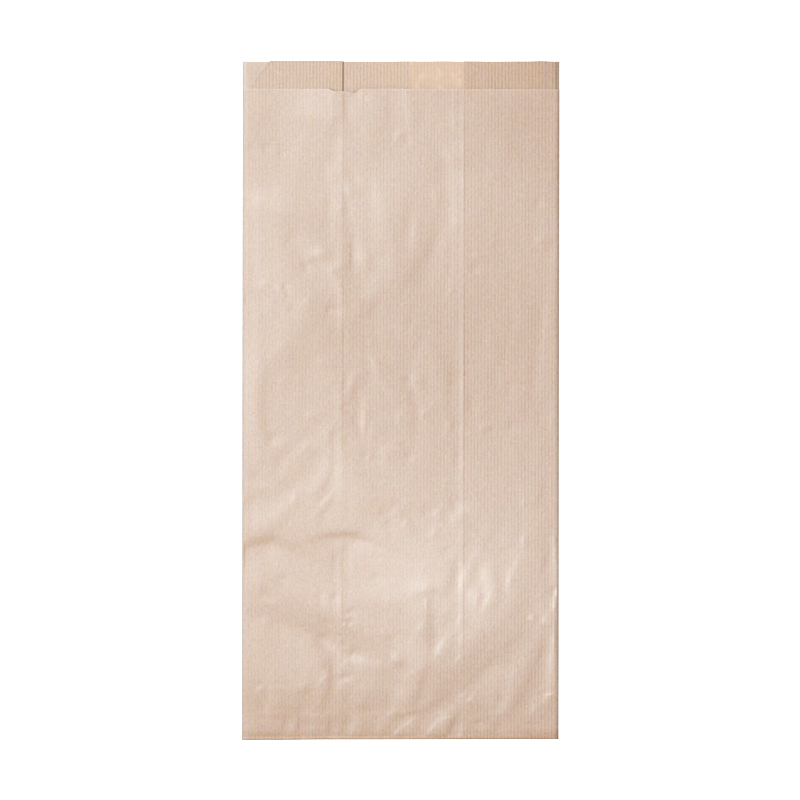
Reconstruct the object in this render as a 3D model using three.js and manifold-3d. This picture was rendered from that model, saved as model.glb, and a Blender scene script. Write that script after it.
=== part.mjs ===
// A flat kraft paper bag with side gussets, empty and lying on its back panel.
// The mouth is towards +Y and the glued bottom towards -Y. Millimetres, +Z up, and the origin
// is on the surface it lies on, under the middle of the bag.
import * as THREE from 'three';
import { mergeVertices } from 'three/addons/utils/BufferGeometryUtils.js';
import Module from 'manifold-3d';

// ---- Driving dimensions ----
const WIDTH = 150; // across the two side folds
const LENGTH = 322; // from the bottom fold to the back panel's edge
const LIP = 13.6; // the back panel stands this far beyond the front panel's edge
const FLAP = 12.7; // the front panel runs on past the bottom fold and is glued under the back panel
const GUSSET_DEPTH = { left: 47.4, right: 45.4 }; // from the side fold to the gusset's inner fold
const SEAM = { inner: 2.1, outer: 27.1 }; // the edges of the paper where the back panel overlaps itself
const PAPER = 0.25; // thickness of the wall
const AIR = 0.22; // space between two layers of the relaxed bag
const BACK_EDGE_DROP = 0.5; // the back panel ends this far below the gussets' edge
const CORNER_CUT = { foot: 3.5, head: 13.5 }; // the left gusset's slanting cut, from the side fold
const NOTCH = { middle: -27.2, width: 16.6, floor: 6, depth: 1.3 }; // dent in the front panel's edge
const FLAP_RISE = 0.3; // the back panel is lifted this far where it meets the flap
const FLAP_RAMP = 16; // and comes back down to the surface within this length
const FLAP_SQUEEZE = 0.66; // the layers are pressed to this share of their height at the flap
const GRID = 7; // spacing of the lines on the front panel

// ---- Derived sizes ----
const HALF_WIDTH = WIDTH / 2;
const FOOT = -LENGTH / 2;
const HEAD = LENGTH / 2;
const FRONT_EDGE = HEAD - LIP;
const FLAP_EDGE = FOOT + FLAP;
const PITCH = PAPER + AIR;
const TURN = PITCH / 2; // radius of a fold, to the middle of the paper
const LAP = 0.06; // a panel lies this far off the strip of paper that it overlaps
const JOINT = 1.6; // how far a panel overlaps the turned edge of a gusset
const GUSSET_FOLD = { left: GUSSET_DEPTH.left - HALF_WIDTH, right: HALF_WIDTH - GUSSET_DEPTH.right };
const LEVEL = [0, 1, 2, 3].map((layer) => LAP + PAPER / 2 + layer * PITCH); // middle of each layer
const FRONT_UNDER = LEVEL[3] - PAPER / 2 + LAP;

// ---- Relief of the front panel ----
const MIDDLE_SAG = 0.3; // the panel drops between the two gussets, where no layers lie under it
const SAG_RUN = 3.2; // and does so within this distance of a gusset's fold
const FOLD_RIDGE = { height: 0.16, width: 1.9 }; // the springy inner fold of a gusset lifts the panel
const PILLOW = 0.6; // the air inside lifts the middle of the panel
const FOOT_SLOPE = 34; // the panel comes down to the bottom fold within this length
const EDGE_SLOPE = 8; // and to a side fold within this one
const EDGE_FLAT = 2.6; // beside the side fold it is flat this far in

// Swells and dents of the panel. Each has its highest or lowest point, the direction its length
// runs in, its reach both ways along and to its upper and lower side, its height and its bend.
const SWELLS = [
  {
    name: 'upper left swell', at: [-1, 104], turn: 80,
    along: 70, upper: 62, lower: 17, height: 1.2, bend: 0,
  },
  {
    name: 'slanting ridge', at: [-2, 56], turn: 50,
    along: 24, upper: 14, lower: 8, height: 0.4, bend: 0.006,
  },
  {
    name: 'left ridge', at: [-42, 39], turn: 24,
    along: 24, upper: 16, lower: 11, height: 0.42, bend: -0.006,
  },
  {
    name: 'left edge swell', at: [-65, 7], turn: 84,
    along: 18, upper: 8, lower: 5, height: 0.26, bend: 0.016,
  },
  {
    name: 'left fold dent', at: [-22.6, 71], turn: 84,
    along: 26, upper: 5, lower: 4, height: -0.2, bend: 0,
  },
  {
    name: 'low left swell', at: [-15, -57], turn: 60,
    along: 44, upper: 52, lower: 30, height: 0.95, bend: 0,
  },
  {
    name: 'left cross crease', at: [-73, -66], turn: 6,
    along: 17, upper: 5, lower: 8, height: -0.3, bend: 0,
  },
  {
    name: 'middle cross crease', at: [-30, -63], turn: 4,
    along: 15, upper: 4, lower: 7, height: -0.2, bend: 0,
  },
  {
    name: 'low left dent', at: [-48, -103], turn: -27,
    along: 20, upper: 6, lower: 8, height: -0.2, bend: 0,
  },
  {
    name: 'belly', at: [29, -110], turn: 46,
    along: 50, upper: 44, lower: 15, height: 2.0, bend: -0.003,
  },
  {
    name: 'belly shoulder', at: [56, -72], turn: 64,
    along: 24, upper: 26, lower: 11, height: 0.8, bend: -0.008,
  },
  {
    name: 'corner ridge', at: [61, -117], turn: 62,
    along: 24, upper: 6, lower: 6, height: 0.32, bend: -0.008,
  },
];

const smooth = (t) => {
  const s = THREE.MathUtils.clamp(t, 0, 1);
  return s * s * (3 - 2 * s);
};

// The height of one swell at the point (x, y), a bell with a longer and a shorter side.
function swell(x, y, { at, turn, along, upper, lower, height, bend }) {
  const p = new THREE.Vector2(x - at[0], y - at[1]);
  p.rotateAround(new THREE.Vector2(), -THREE.MathUtils.degToRad(turn));
  const aside = p.y - bend * p.x ** 2;
  return height * Math.exp(-2 * ((p.x / along) ** 2 + (aside / (aside > 0 ? upper : lower)) ** 2));
}

// How far the front panel stands above a flat panel at the point (x, y).
function relief(x, y) {
  const edge = smooth((HALF_WIDTH - EDGE_FLAT - Math.abs(x)) / EDGE_SLOPE);
  const foot = smooth((y - FOOT) / FOOT_SLOPE);
  const inLeft = smooth((x - GUSSET_FOLD.left) / SAG_RUN);
  const inRight = smooth((GUSSET_FOLD.right - x) / SAG_RUN);
  const sag = -MIDDLE_SAG * Math.min(inLeft, inRight);
  const ridges = Object.values(GUSSET_FOLD)
    .map((fold) => FOLD_RIDGE.height * Math.exp(-(((x - fold) / FOLD_RIDGE.width) ** 2)))
    .reduce((sum, height) => sum + height);
  const pillow = PILLOW * (1 - Math.abs(x / HALF_WIDTH) ** 2.5);
  const swells = SWELLS.reduce((sum, one) => sum + swell(x, y, one), 0);
  return edge * (sag + ridges + foot * (pillow + swells));
}

// The layers lie on the flap at the bottom, pressed together, and on the surface beyond it.
function settled(y, z) {
  const near = 1 - smooth((y - FLAP_EDGE) / FLAP_RAMP);
  return FLAP_RISE * near + z * (1 - (1 - FLAP_SQUEEZE) * near);
}

// ---- Making solids ----
const wasm = await Module();
wasm.setup();

function solid(geometry) {
  const bare = geometry.clone().deleteAttribute('normal').deleteAttribute('uv');
  const merged = mergeVertices(bare, 1e-4);
  return new wasm.Manifold(
    new wasm.Mesh({
      numProp: 3,
      vertProperties: merged.getAttribute('position').array,
      triVerts: new Uint32Array(merged.index.array),
    }),
  );
}

function geometryOf(made) {
  const mesh = made.getMesh();
  const geometry = new THREE.BufferGeometry();
  geometry.setAttribute('position', new THREE.BufferAttribute(mesh.vertProperties, 3));
  geometry.setIndex(new THREE.BufferAttribute(mesh.triVerts, 1));
  geometry.computeVertexNormals();
  return geometry;
}

// Moves every vertex of a geometry to where place(x, y, z) says.
function reshape(geometry, place) {
  const position = geometry.getAttribute('position');
  const v = new THREE.Vector3();
  for (let i = 0; i < position.count; i++) {
    v.fromBufferAttribute(position, i);
    position.setXYZ(i, ...place(v.x, v.y, v.z));
  }
  return geometry;
}

// The marks and even steps between them, none longer than GRID.
function lines(marks) {
  const spans = marks.slice(1).map((mark, i) => {
    const parts = Math.ceil((mark - marks[i]) / GRID);
    return Array.from({ length: parts }, (_, k) => marks[i] + ((mark - marks[i]) * (k + 1)) / parts);
  });
  return [marks[0], ...spans.flat()];
}

// A sheet of paper over a grid of lines: under(x, y) is its lower face and over(x, y) its upper one.
function sheet(xLines, yLines, under, over) {
  const columns = xLines.length - 1;
  const rows = yLines.length - 1;
  const box = new THREE.BoxGeometry(columns, rows, 1, columns, rows, 1);
  return reshape(box, (i, j, side) => {
    const x = xLines[Math.round(i + columns / 2)];
    const y = yLines[Math.round(j + rows / 2)];
    return [x, y, side > 0 ? over(x, y) : under(x, y)];
  });
}

// A block from one corner to the other.
function block(low, high) {
  const box = new THREE.Box3(new THREE.Vector3(...low), new THREE.Vector3(...high));
  const middle = box.getCenter(new THREE.Vector3());
  return new THREE.BoxGeometry(...box.getSize(new THREE.Vector3())).translate(...middle);
}

// A plan outline raised from z0 to z1.
function prism(points, z0, z1) {
  const outline = new THREE.Shape(points.map(([x, y]) => new THREE.Vector2(x, y)));
  return new THREE.ExtrudeGeometry(outline, { depth: z1 - z0, bevelEnabled: false }).translate(0, 0, z0);
}

// ---- The pieces of the folded tube ----
const mirrored = (marks) => [...marks.map((mark) => -mark).reverse(), ...marks];
const sideMarks = [HALF_WIDTH - EDGE_FLAT, HALF_WIDTH - JOINT + 0.6];
const foldMarks = [
  [-2.4, 0, SAG_RUN / 2, SAG_RUN].map((x) => GUSSET_FOLD.left + x),
  [-SAG_RUN, -SAG_RUN / 2, 0, 2.4].map((x) => GUSSET_FOLD.right + x),
];
const [leftEnd, leftFlat, rightFlat, rightEnd] = mirrored(sideMarks);
const frontLines = lines([leftEnd, leftFlat, ...foldMarks.flat(), rightFlat, rightEnd]);

const frontUnder = (x, y) => settled(y, FRONT_UNDER) + relief(x, y);
const frontOver = (x, y) => settled(y, FRONT_UNDER + PAPER) + relief(x, y);

// The front panel, with the shallow dent in its edge.
function frontPanel() {
  const rows = lines([FLAP_EDGE - 2.5, FLAP_EDGE + 4.5, -66, FRONT_EDGE]);
  const panel = solid(sheet(frontLines, rows, frontUnder, frontOver));
  const left = NOTCH.middle - NOTCH.width / 2;
  const right = NOTCH.middle + NOTCH.width / 2;
  const floor = FRONT_EDGE - NOTCH.depth;
  const dent = prism(
    [
      [left, FRONT_EDGE + 1],
      [left, FRONT_EDGE],
      [NOTCH.middle - NOTCH.floor / 2, floor],
      [NOTCH.middle + NOTCH.floor / 2, floor],
      [right, FRONT_EDGE],
      [right, FRONT_EDGE + 1],
    ],
    0.5,
    8,
  );
  return panel.subtract(solid(dent));
}

// The back panel: two edges of the paper, glued one over the other along the seam.
function backPanel() {
  const bend = [-2.2, 2, 5, 8, 11, 16].map((y) => FLAP_EDGE + y);
  const rows = [...bend, -60, 0, 60, 120, HEAD - BACK_EDGE_DROP];
  const outerEnd = HALF_WIDTH - JOINT + 0.6;
  const rampEnd = SEAM.outer + 2;
  const lifted = (x) => (PAPER - LAP) * (1 - smooth((x - SEAM.outer) / (rampEnd - SEAM.outer)));
  const outer = sheet([-outerEnd, SEAM.outer], rows, (x, y) => settled(y, 0), (x, y) => settled(y, PAPER));
  const inner = sheet(
    [SEAM.inner, SEAM.outer, (SEAM.outer + rampEnd) / 2, rampEnd, outerEnd],
    rows,
    (x, y) => settled(y, lifted(x)),
    (x, y) => settled(y, lifted(x) + PAPER),
  );
  return solid(outer).add(solid(inner));
}

// The paper's section along a gusset, from its overlap with the front panel, in and out again
// through three folds, to its overlap with the back panel.
function gussetSection(depth) {
  const outside = HALF_WIDTH - PAPER / 2 - TURN;
  const inside = HALF_WIDTH - depth + PAPER / 2 + TURN;
  const overlap = HALF_WIDTH - JOINT - 0.6;
  const path = new THREE.Path();
  path.moveTo(overlap, LEVEL[3]);
  path.lineTo(outside, LEVEL[3]);
  path.absarc(outside, (LEVEL[3] + LEVEL[2]) / 2, TURN, Math.PI / 2, -Math.PI / 2, true);
  path.lineTo(inside, LEVEL[2]);
  path.absarc(inside, (LEVEL[2] + LEVEL[1]) / 2, TURN, Math.PI / 2, (3 * Math.PI) / 2, false);
  path.lineTo(outside, LEVEL[1]);
  path.absarc(outside, (LEVEL[1] + LEVEL[0]) / 2, TURN, Math.PI / 2, -Math.PI / 2, true);
  path.lineTo(overlap, LEVEL[0]);
  const middle = path.getPoints(3).filter((p, i, all) => i === 0 || p.distanceTo(all[i - 1]) > 1e-6);
  const offset = (side) =>
    middle.map((p, i) => {
      const ahead = middle[Math.min(i + 1, middle.length - 1)];
      const behind = middle[Math.max(i - 1, 0)];
      const along = ahead.clone().sub(behind).normalize();
      return new THREE.Vector2(p.x - (side * along.y * PAPER) / 2, p.y + (side * along.x * PAPER) / 2);
    });
  return new THREE.Shape([...offset(1), ...offset(-1).reverse()]);
}

// One gusset with its side folds. Its rows are close together at the bottom, where it bends.
function gusset(side) {
  const turned = side === 'left' ? -1 : 1;
  const rows = [HEAD, 120, 70, 10, -40, -85, ...[16, 12, 9, 6, 3, -2].map((y) => FLAP_EDGE + y)];
  const strip = new THREE.ExtrudeGeometry(gussetSection(GUSSET_DEPTH[side]), {
    depth: rows.length - 1,
    steps: rows.length - 1,
    bevelEnabled: false,
  });
  reshape(strip, (x, z, row) => {
    const y = rows[Math.round(row)];
    return [x, y, settled(y, z)];
  });
  const folded = solid(strip);
  const between = (LEVEL[1] + LEVEL[2]) / 2;
  const aboveGusset = (LEVEL[2] + LEVEL[3]) / 2;
  const cornerCut =
    side === 'left'
      ? [
          [HALF_WIDTH + 1, FRONT_EDGE],
          [HALF_WIDTH + 1, HEAD + 1],
          [HALF_WIDTH - CORNER_CUT.head, HEAD + 0.1],
          [HALF_WIDTH - CORNER_CUT.foot, FRONT_EDGE],
        ]
      : [
          [HALF_WIDTH + 1, FRONT_EDGE],
          [HALF_WIDTH + 1, HEAD + 1],
          [HALF_WIDTH - TURN, HEAD + 1],
          [HALF_WIDTH - TURN, FRONT_EDGE],
        ];
  const cut = folded
    .subtract(solid(block([0, FRONT_EDGE, aboveGusset], [WIDTH, HEAD + 1, aboveGusset + 2])))
    .subtract(solid(prism(cornerCut, between, between + 3)));
  return turned > 0 ? cut : cut.mirror([1, 0, 0]);
}

// The end of the tube, pressed flat, folded under and glued: one thick strip with rounded edges.
function bottomFold() {
  const radius = 0.7;
  const ends = mirrored([HALF_WIDTH - radius, HALF_WIDTH - 0.2, HALF_WIDTH]);
  const xLines = [...ends.slice(0, 3), ...frontLines.slice(1, -1), ...ends.slice(3)];
  const yLines = [FOOT, FOOT + 0.2, FOOT + radius, FOOT + 3, FOOT + 7, FLAP_EDGE];
  const full = (d) => Math.sqrt(1 - (1 - THREE.MathUtils.clamp(d / radius, 0.08, 1)) ** 2);
  const share = (x, y) => full(HALF_WIDTH - Math.abs(x)) * full(y - FOOT);
  const top = (x, y) => frontOver(x, y) + LAP / 2;
  return solid(
    sheet(
      xLines,
      yLines,
      (x, y) => (top(x, y) / 2) * (1 - share(x, y)),
      (x, y) => (top(x, y) / 2) * (1 + share(x, y)),
    ),
  );
}

// ---- The bag ----
const kraft = new THREE.MeshStandardMaterial({ color: 0xd9bfa8, roughness: 0.72, metalness: 0 });

const pieces = [backPanel(), gusset('left'), gusset('right'), frontPanel(), bottomFold()];
const folded = pieces.reduce((joined, piece) => joined.add(piece));
const paperBag = new THREE.Mesh(geometryOf(folded), kraft);
paperBag.name = 'paper_bag';

const bag = new THREE.Group();
bag.add(paperBag);

export default bag;
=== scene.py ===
import math
from collections import namedtuple

import bpy
import numpy as np
from bpy.props import FloatProperty, FloatVectorProperty, PointerProperty
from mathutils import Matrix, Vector, noise


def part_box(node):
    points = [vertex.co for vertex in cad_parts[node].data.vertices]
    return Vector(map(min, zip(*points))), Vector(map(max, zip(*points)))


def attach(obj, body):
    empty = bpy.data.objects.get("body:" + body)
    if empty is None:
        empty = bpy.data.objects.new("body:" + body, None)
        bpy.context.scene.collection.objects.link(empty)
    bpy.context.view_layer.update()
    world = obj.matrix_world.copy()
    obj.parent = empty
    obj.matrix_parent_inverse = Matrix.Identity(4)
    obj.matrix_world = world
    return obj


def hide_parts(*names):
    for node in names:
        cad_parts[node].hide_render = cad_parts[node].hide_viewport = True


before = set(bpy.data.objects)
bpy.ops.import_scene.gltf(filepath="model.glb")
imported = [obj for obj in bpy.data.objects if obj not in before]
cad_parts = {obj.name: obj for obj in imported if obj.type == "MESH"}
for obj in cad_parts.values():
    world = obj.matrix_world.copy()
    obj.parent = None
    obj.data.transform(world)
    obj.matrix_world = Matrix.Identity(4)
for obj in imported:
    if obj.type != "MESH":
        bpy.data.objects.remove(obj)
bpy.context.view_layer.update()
CAD_LOW, CAD_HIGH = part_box("paper_bag")

bl_info = {
    "name": "Kraft paper bag",
    "version": (1, 0, 0),
    "blender": (4, 5, 0),
    "location": "3D View > Sidebar > Paper bag",
    "description": "Makes a flat kraft paper bag with side gussets over its CAD frame",
    "category": "Object",
}

# Sizes inside the functions are in millimetres, as on a bag maker's drawing. MM takes them to metres.
MM = 0.001


def rows_of(kind, *rows):
    """The rows of a table, their values named."""
    return [kind(*row) for row in rows]


# ---- The folded tube ----
HALF_WIDTH = (CAD_HIGH.x - CAD_LOW.x) / 2 / MM
HEAD = CAD_HIGH.y / MM
FOOT = CAD_LOW.y / MM
BACK, GUSSET_BACK, GUSSET_FRONT, FRONT = 0.08, 0.50, 0.93, 1.38  # heights of the four layers
LAP = 0.13  # a paper edge lies this far under the paper that it is glued to
PRESS_RUN = 16.0  # the layers come down from the flap to the surface within this length
PRESS = 0.66  # the layers are pressed to this share of their height at the flap
PRESS_RISE = 0.30  # and lie this much higher there
FRONT_FLAT, CURL = 74.0, 2.0  # columns of the front panel: its flat part, and its two side folds
CORNER_CUT = (-71.5, 147.4, 10 / 13.6)  # where the left gusset's slanting cut leaves the front's edge
CUT_HOLD = -48.0  # right of this the cut moves nothing
# The dent in the front's upper edge: x, and how far the edge lies back there.
DENT = (
    (-35.2, 0.0), (-34.3, 0.0), (-33.1, 0.6), (-31.0, 1.15), (-27.0, 1.1), (-23.5, 1.85), (-21.3, 2.2),
    (-19.9, 0.5), (-18.9, 0.0),
)
DENT_RUN = 9.0
FOOT_RADIUS = 0.58  # of the bottom fold, before the layers are pressed
FOOT_RUN = 3.0  # the panel meets the bottom fold's real radius within this length
CORNER_TURN = 0.9  # the side folds open out flat within this turn, in radians, of the bottom fold
PITCH, UPPER_PITCH, RIM_PITCH, FOLD_PITCH = 1.0, 1.65, 0.7, 0.3  # distances of the panel's vertices
GUSSET_GAP = 0.55  # the back's paper ends this far short of a gusset's inner fold
GUSSET_RETURN = 1.4  # and a gusset's upper half comes back this far under itself
GUSSET_INSET = 0.17  # a gusset's outer end lies this far inside the side fold
# Waves of the cut edges at the mouth: height, length and start.
BACK_WAVES = ((0.10, 9.0, 0.0), (0.06, 3.1, 1.0))
LEFT_WAVES = ((-0.05, 5.0, 0.0),)
RIGHT_WAVES = ((0.04, 4.0, 0.0),)
BACK_DROP, LEFT_DROP, RIGHT_DROP = 0.10, 0.30, 0.45  # how far these edges lie below the bag's head
RAISED_AT, RAISED_REACH, RAISED_HEIGHT = 66.5, 6.0, 0.26  # the right gusset's edge stands up a little here
BACK_WAVE_RUN, GUSSET_WAVE_RUN = 6.0, 5.0  # the waves fade out below the edge within these lengths
GUSSET_WAVE = 0.05  # height of the gussets' low waves

# ---- Relief of the front panel ----
# Each broad swell or dent has its top, the direction its length runs in, its reach along that direction
# and to the upper and the lower side of it, its height, and how much it bends. Their first values came
# from a fit to the light and dark of the real paper; they were then rounded and changed.
Swell = namedtuple("Swell", "name x y turn along upper lower height bend", defaults=(0,))
SWELLS = rows_of(
    Swell,
    ("belly", 41.5, -109.5, 59, 45, 60, 17.5, 1.70),
    ("belly crown", 18, -92, 61, 57, 34, 18, 0.56),
    ("belly shoulder", 48, -88, 48, 38, 23, 11, 0.27, 0.006),
    ("belly band", 12, -125, 57, 12, 13, 20, 0.33, 0.003),
    ("corner ridge", 72, -124, 89, 30, 12, 4, -0.22, 0.013),
    ("corner ridge foot", 54, -126, 67, 12, 7, 7.5, 0.06, -0.009),
    ("low left swell", -10, -66, 38, 55, 56, 51, 0.70, 0.008),
    ("left edge swell", -74, 4, 96, 37, 10.5, 10, 0.19, -0.004),
    ("left ridge", -43, 45.5, 31, 25, 27, 23.5, 0.25, 0.004),
    ("upper left swell", 3, 100, 65, 57, 32, 20, 0.13, -0.003),
    ("upper dark slope", 17, 70.5, 66, 32, 7.5, 13, -0.20, 0.005),
    ("slanting ridge", 2, 69, 88, 44, 19, 22.5, 0.25, 0.001),
    ("mouth swell", -32.5, 133, -29, 20, 25, 9, 0.26, -0.02),
    ("top right droop", 63, 152, 43, 33, 14.5, 18.5, 0.18),
    ("right long slope", 66.5, 18, 93, 90, 10, 15, -0.045),
    ("left fold at the mouth", -27.9, 115, 90, 50, 1.6, 1, 0.025),
    ("left fold middle", -27.9, 20, 90, 60, 3, 0.9, 0.05),
    ("left fold low", -27.9, -110, 90, 55, 2.6, 0.9, 0.035),
    ("left fold dent", -23, 68.5, 90, 9.5, 1.2, 4.5, -0.09),
    ("beside the left fold", -31.5, 5.5, 99, 39, 15.5, 5, 0.10, -0.008),
    ("right fold at the mouth", 29.6, 105, 90, 45, 1.1, 1, 0.045),
    ("right fold middle", 29.6, 5, 90, 70, 1.3, 1, 0.06),
    ("right fold low", 29.6, -95, 90, 60, 2.6, 0.8, 0.045),
    ("right fold rise", 27.5, 85, 89, 39, 7.5, 31, 0.32),
    ("right fold groove", 27.2, -82.5, 90, 15, 7, 2.8, -0.07, -0.003),
    ("upper rib", -8.5, 88.5, 93, 21.5, 4.5, 15, 0.075, 0.003),
    ("upper rib head", -22, 105.5, -51, 5.5, 3, 2.7, -0.045),
    ("upper slant crease", -25, 100, -76, 7, 4.5, 2, 0.06, 0.007),
    ("upper fold ridge", -21.5, 70, 100, 27.5, 5, 4.3, -0.05, -0.002),
    ("short rib", -15, 48, 50, 20.5, 6.5, 7.3, 0.07, 0.005),
    ("middle groove", 3, 79.5, 86, 17, 7.5, 4.4, -0.10, -0.008),
    ("middle rib", 20.5, 74.5, 87, 22.5, 9.5, 5.6, 0.19, 0.005),
    ("mouth streak", 4, 140, -82, 13.5, 8.5, 3.5, 0.06, 0.004),
    ("mouth rise", -12.5, 131, 82, 20.5, 11, 12, 0.175, 0.006),
    ("upper left hollow", -53.5, 121.5, -61, 49, 30, 20, -0.265, 0.016),
    ("upper left band", -52.5, 89, -15, 26.5, 10, 10, 0.20, -0.004),
    ("upper left ridge", -31.5, 61.5, -63, 63, 11, 4.5, 0.14, -0.008),
    ("upper left groove", -32.5, 111, 81, 90, 7, 5, -0.055, -0.004),
    ("left slanting ridge", -55, 58, -65, 43, 12, 13.5, 0.15, 0.014),
    ("left slanting dent", -67, 46, -48, 5.5, 3.6, 3.6, -0.055),
    ("left short ridge", -35.5, 30.5, 75, 7.5, 5.5, 4, 0.035),
    ("left middle ridge", -54.5, 26, 54, 27, 12.5, 17.5, 0.175, -0.002),
    ("left fan groove", -57, -31, 61, 7, 4.3, 4.4, -0.08, -0.006),
    ("left fan ridge", -34.5, -30, 81, 21, 6, 3.8, 0.09, 0.014),
    ("left fan long ridge", -62.5, -61, 54, 48, 6.3, 5.2, 0.06, -0.007),
    ("left fan hollow", -63, -47.5, 17, 55, 8.7, 12, -0.115, 0.011),
    ("left fan dent", -67, -37.5, -21, 12, 6, 3.4, -0.13, -0.005),
    ("left fan long groove", -47.5, -20.5, 36, 59, 4.5, 4, -0.03, 0.003),
    ("left cross crease", -59, -70.5, -18, 32, 7.6, 14, -0.38, -0.008),
    ("fold cross crease", -22.5, -66, -8, 24.5, 4.5, 24, -0.29, -0.013),
    ("fold cross groove", -21, -67, 53, 19.5, 5, 7, -0.07),
    ("centre slanting ridge", -5, 5.5, -45, 21.5, 5.8, 3.8, 0.075, 0.02),
    ("centre groove", 5, 17, 79, 17.5, 6.4, 3.7, -0.06, -0.013),
    ("centre long groove", 7, 1, -74, 37, 4.6, 6, -0.055, -0.013),
    ("centre short ridge", -16.5, -9.5, 88, 8.5, 2.3, 2.5, 0.045, 0.003),
    ("centre fold ridge", -24.5, 0.5, 83, 14, 3.8, 4.8, 0.10, -0.013),
    ("centre fold groove", 24, 6.5, 89, 12.5, 1.4, 1.1, -0.025, -0.003),
    ("centre upper groove", 4, 37, 79, 14.5, 4.4, 4, -0.04, -0.003),
    ("centre low ridge", -20, -41.5, -45, 28, 10, 12.3, 0.285, 0.02),
    ("centre right ridge", 15, 21, 128, 24, 7.5, 7.7, 0.15, 0.02),
    ("right side groove", 67, 35, 81, 65, 4.5, 3.8, -0.04),
    ("right upper groove", 66.5, 65, 90, 90, 8.3, 2.1, -0.015),
    ("right middle groove", 49.5, 20, 86, 12, 3.8, 3.8, -0.035, 0.003),
    ("right middle ridge", 44, 22.5, 86, 14, 5.1, 3.7, 0.04, 0.02),
    ("right short groove", 52, 5, 95, 4.5, 3.1, 3, -0.04),
    ("right slanting ridge", 64.5, -44, 74, 11, 9, 3.7, 0.075, -0.007),
    ("right edge groove", 72, -73, 103, 18.5, 8.3, 1.5, -0.105, 0.004),
    ("right low ridge", 52, -63.5, 79, 16, 4, 4, 0.035, 0.011),
    ("belly top ridge", 43.5, -89.5, 87, 17.5, 5.4, 6.4, 0.16, 0.01),
    ("belly top right ridge", 52.5, -84, 77, 12.5, 2.1, 6, 0.045, -0.02),
    ("belly top groove", 29.5, -79.5, 65, 29, 5.4, 4.8, -0.085, 0.003),
    ("belly top short ridge", 36.5, -93, 81, 7.5, 5, 2.8, 0.08, 0.002),
    ("belly groove", 16.5, -110.5, 94, 28.5, 4, 5, -0.125, -0.003),
    ("belly groove foot", 18.5, -121, 73, 11.5, 3.6, 6.8, 0.175, -0.02),
    ("belly left ridge", 12.5, -89.5, 13, 11.5, 6.2, 4.6, 0.12, -0.005),
    ("belly left band", -13, -95, -18, 19.5, 11, 9.5, 0.235, -0.011),
    ("belly left slope", -23.5, -104.5, -31, 41, 9.4, 9.5, 0.465, -0.003),
    ("belly left foot", -12, -126, -13, 17, 4.8, 6.4, 0.18, -0.012),
    ("belly edge", 6, -141, 82, 27, 6.7, 5.3, 0.19, -0.013),
    ("low left slope", -38.5, -113.5, -26, 48.5, 7, 5.3, -0.32, -0.002),
    ("low left dent", -62, -92.5, 3, 8, 7.6, 4.3, -0.085),
    ("low fold ridge", -38, -126, 97, 16, 16, 7, 0.215, 0.02),
    ("foot hollow left", -64, -144, 93, 27.5, 7.6, 5.4, -0.10, 0.004),
    ("foot ridge left", -49.5, -144, 83, 8, 3.5, 3, 0.045),
    ("foot ridge beside the fold", -36, -140, 74, 17.5, 5.4, 3.3, 0.105, 0.01),
    ("foot ridge middle", -19, -144, 78, 4, 6, 4.5, 0.105),
    ("foot hollow middle", -4.5, -141.5, 75, 13, 10, 5, -0.16, 0.01),
    ("foot ridge right", 53, -141.5, 54, 36, 8.3, 5, 0.17, 0.006),
    ("foot short ridge right", 34, -129, 44, 22, 4.6, 3.8, 0.11, 0.002),
    ("foot short ridge", 12.5, -145, 41, 9.5, 5, 3.8, 0.145, -0.009),
    ("foot corner ridge", 64, -146.5, 50, 21.5, 3.8, 3.3, 0.06, -0.018),
    ("corner dent", 70, -101.5, 74, 8, 5.3, 5, -0.025),
    ("corner long ridge", 65.5, -113.5, 59, 82, 4.7, 5.4, 0.055, 0.002),
    ("corner low groove", 48, -141.5, 76, 9.5, 4.3, 5.5, -0.16, -0.004),
    ("belly foot groove", 43, -119, 71, 43.5, 7.5, 6.2, -0.10, -0.016),
    ("belly foot hollow", 33, -130.5, 52, 30, 8.1, 12.2, -0.59, 0.006),
)
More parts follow.
